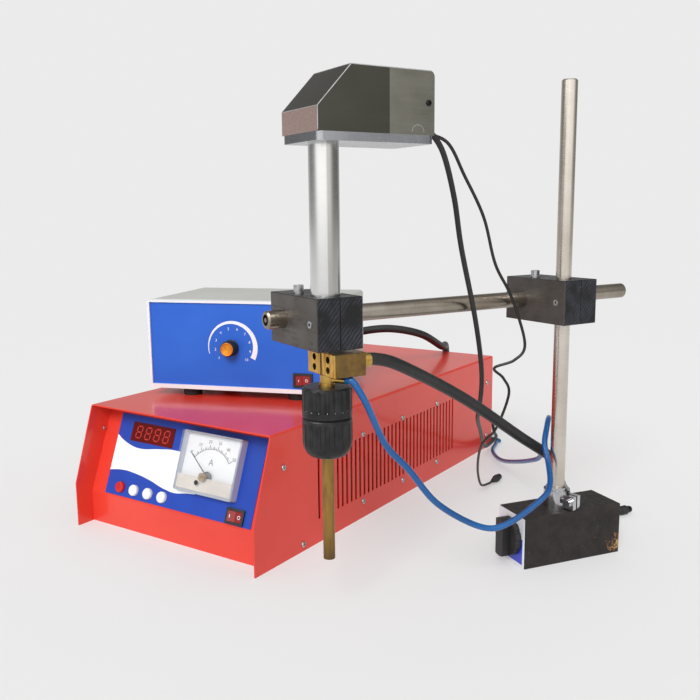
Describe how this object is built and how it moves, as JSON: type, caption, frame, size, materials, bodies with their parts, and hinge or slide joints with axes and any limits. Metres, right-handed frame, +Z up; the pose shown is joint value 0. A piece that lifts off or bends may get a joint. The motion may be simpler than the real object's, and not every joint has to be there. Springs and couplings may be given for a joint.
{
  "type": "electrical discharge tap remover",
  "caption": "Power case with a small water pump on top and cables to a chuck head on a round arm, held by a post on a switchable magnetic base.",
  "frame": {"origin": "middle of the power case's underside, on the table", "axes": "+X right seen from the control panel, +Y to the rear, +Z up"},
  "size_m": [0.5825, 0.7087, 0.485],
  "materials": {
    "red_paint": "glossy powder coat",
    "overlay_film": "smooth printed film",
    "display_red": "dark red filter",
    "black_plastic": "fine grain",
    "meter_case": "frosted",
    "dial_white": "printed card",
    "clear_cover": "clear plastic",
    "white_plastic": "smooth",
    "red_plastic": "smooth",
    "zinc_steel": "zinc plated",
    "core_steel": "varnished laminations",
    "board_green": "solder mask",
    "grey_paint": "fine powder coat",
    "white_paint": "satin paint",
    "blue_panel": "printed panel",
    "knob_brass": "black knob with a copper-coloured cap",
    "foot_rubber": "moulded",
    "motor_grey": "painted casting",
    "fitting_brass": "turned",
    "base_black": "satin paint, worn at the edges",
    "plate_blue": "printed end plate",
    "knob_black": "moulded",
    "bright_steel": "polished",
    "block_black": "black finish on a milled block",
    "polished_sheet": "polished sheet",
    "ground_steel": "ground",
    "milled_brass": "milled",
    "chuck_black": "moulded, glossy",
    "electrode_brass": "drawn tube, tarnished",
    "cable_black": "smooth sheath",
    "hose_blue": "soft tube"
  },
  "bodies": {
    "base": {"case_cover": "red_paint", "base_tray": "red_paint", "front_panel": "red_paint", "rear_panel": "red_paint", "front_overlay": "overlay_film", "display_window": "display_red", "meter_housing": "meter_case", "meter_dial": "dial_white", "meter_window": "clear_cover", "rocker_bezels": "black_plastic", "case_screws": "zinc_steel", "fan_frame": "black_plastic", "transformer": "core_steel", "circuit_board": "board_green", "rear_sockets": "black_plastic", "pump_cover": "grey_paint", "pump_front_frame": "white_paint", "pump_panel": "blue_panel", "pump_feet": "foot_rubber", "pump_motor": "motor_grey", "pump_fittings": "fitting_brass", "magnet_body": "base_black", "magnet_plate": "plate_blue", "post_boss": "bright_steel", "electrode_cable": "cable_black", "motor_cable": "cable_black", "sensor_cable": "cable_black", "water_hose": "hose_blue", "pump_hose": "cable_black", "cord_ends": "black_plastic"},
    "needle": {"meter_needle": "black_plastic"},
    "zero_screw": {"meter_zero_screw": "white_plastic"},
    "start_button": {"button_start": "red_plastic"},
    "button_one": {"button_1": "white_plastic"},
    "button_two": {"button_2": "white_plastic"},
    "button_three": {"button_3": "white_plastic"},
    "power_switch": {"power_rocker": "red_plastic"},
    "fan": {"fan_rotor": "black_plastic"},
    "flow_knob": {"pump_knob": "knob_brass"},
    "pump_switch": {"pump_rocker": "red_plastic"},
    "magnet_switch": {"magnet_knob": "knob_black"},
    "upright": {"post": "bright_steel"},
    "clamp": {"clamp_block": "block_black", "clamp_screws": "zinc_steel"},
    "arm": {"rod": "bright_steel"},
    "head": {"head_block": "block_black", "head_screws": "zinc_steel", "column_tube": "bright_steel", "cover_plate": "polished_sheet", "motor_cover": "polished_sheet", "feed_motor": "motor_grey"},
    "screw": {"lead_screw": "ground_steel"},
    "ram": {"spindle": "ground_steel", "brass_clamp": "milled_brass", "cable_lug": "fitting_brass", "water_nozzle": "fitting_brass", "chuck_body": "chuck_black", "chuck_jaws": "ground_steel"},
    "chuck_ring": {"chuck_sleeve": "chuck_black"},
    "tube": {"electrode": "electrode_brass"}
  },
  "joints": [
    {"name": "needle_swing", "type": "hinge", "parent": "base", "child": "needle", "pos_m": [0.043, -0.25091, 0.07941], "axis": [0, 0.9336, -0.3584], "range_deg": [0, 104], "stiffness_Nm_per_rad": 0.0002},
    {"name": "zero_turn", "type": "hinge", "parent": "base", "child": "zero_screw", "pos_m": [0.043, -0.25819, 0.0822], "axis": [0, -0.9336, 0.3584], "range_deg": [-20, 20]},
    {"name": "start_press", "type": "slide", "parent": "base", "child": "start_button", "axis": [0, 0.9336, -0.3584], "range_m": [0, 0.0015], "stiffness_N_per_m": 400},
    {"name": "press_one", "type": "slide", "parent": "base", "child": "button_one", "axis": [0, 0.9336, -0.3584], "range_m": [0, 0.0015], "stiffness_N_per_m": 400},
    {"name": "press_two", "type": "slide", "parent": "base", "child": "button_two", "axis": [0, 0.9336, -0.3584], "range_m": [0, 0.0015], "stiffness_N_per_m": 400},
    {"name": "press_three", "type": "slide", "parent": "base", "child": "button_three", "axis": [0, 0.9336, -0.3584], "range_m": [0, 0.0015], "stiffness_N_per_m": 400},
    {"name": "power_rock", "type": "hinge", "parent": "base", "child": "power_switch", "pos_m": [0.0885, -0.25844, 0.04695], "axis": [0, -0.3584, -0.9336], "range_deg": [0, 20]},
    {"name": "fan_spin", "type": "hinge", "parent": "base", "child": "fan", "pos_m": [-0.07, 0.27, 0.072], "axis": [0, 1, 0], "continuous": true},
    {"name": "flow_turn", "type": "hinge", "parent": "base", "child": "flow_knob", "pos_m": [-0.00952, -0.14825, 0.202], "axis": [-0.3256, 0.9455, 0], "range_deg": [-130, 130]},
    {"name": "pump_rock", "type": "hinge", "parent": "base", "child": "pump_switch", "pos_m": [0.07392, -0.11719, 0.166], "axis": [0, 0, -1], "range_deg": [0, 20]},
    {"name": "magnet_turn", "type": "hinge", "parent": "base", "child": "magnet_switch", "pos_m": [0.33358, -0.10862, 0.029], "axis": [0.5664, 0.8241, 0], "range_deg": [0, 90]},
    {"name": "post_swivel", "type": "hinge", "parent": "base", "child": "upright", "pos_m": [0.36417, -0.06412, 0.064], "axis": [0, 0, 1], "range_deg": [-15, 75], "deforming": ["electrode_cable", "motor_cable", "sensor_cable", "water_hose"]},
    {"name": "clamp_slide", "type": "slide", "parent": "upright", "child": "clamp", "axis": [0, 0, 1], "range_m": [-0.04, 0.15], "deforming": ["electrode_cable", "motor_cable", "sensor_cable", "water_hose"]},
    {"name": "rod_slide", "type": "slide", "parent": "clamp", "child": "arm", "axis": [0.4226, 0.9063, 0], "range_m": [-0.08, 0.1], "deforming": ["electrode_cable", "motor_cable", "sensor_cable", "water_hose"]},
    {"name": "head_tilt", "type": "hinge", "parent": "arm", "child": "head", "pos_m": [0.2149, -0.29905, 0.27], "axis": [0.4226, 0.9063, 0], "range_deg": [-60, 15], "deforming": ["electrode_cable", "motor_cable", "sensor_cable", "water_hose"]},
    {"name": "feed", "type": "slide", "parent": "head", "child": "ram", "axis": [0, 0, -1], "range_m": [0, 0.045], "deforming": ["electrode_cable", "water_hose"]},
    {"name": "screw_turn", "type": "hinge", "parent": "head", "child": "screw", "pos_m": [0.24752, -0.31426, 0.42], "axis": [0, 0, 1], "range_deg": [0, 2030]},
    {"name": "chuck_turn", "type": "hinge", "parent": "ram", "child": "chuck_ring", "pos_m": [0.24752, -0.31426, 0.1875], "axis": [0, 0, 1], "range_deg": [-180, 180]},
    {"name": "electrode_draw", "type": "slide", "parent": "ram", "child": "tube", "axis": [0, 0, -1], "range_m": [0, 0.03]}
  ],
  "couplings": [
    {"joint": "screw_turn", "follows": "feed", "rad_per_m": 785.4}
  ]
}
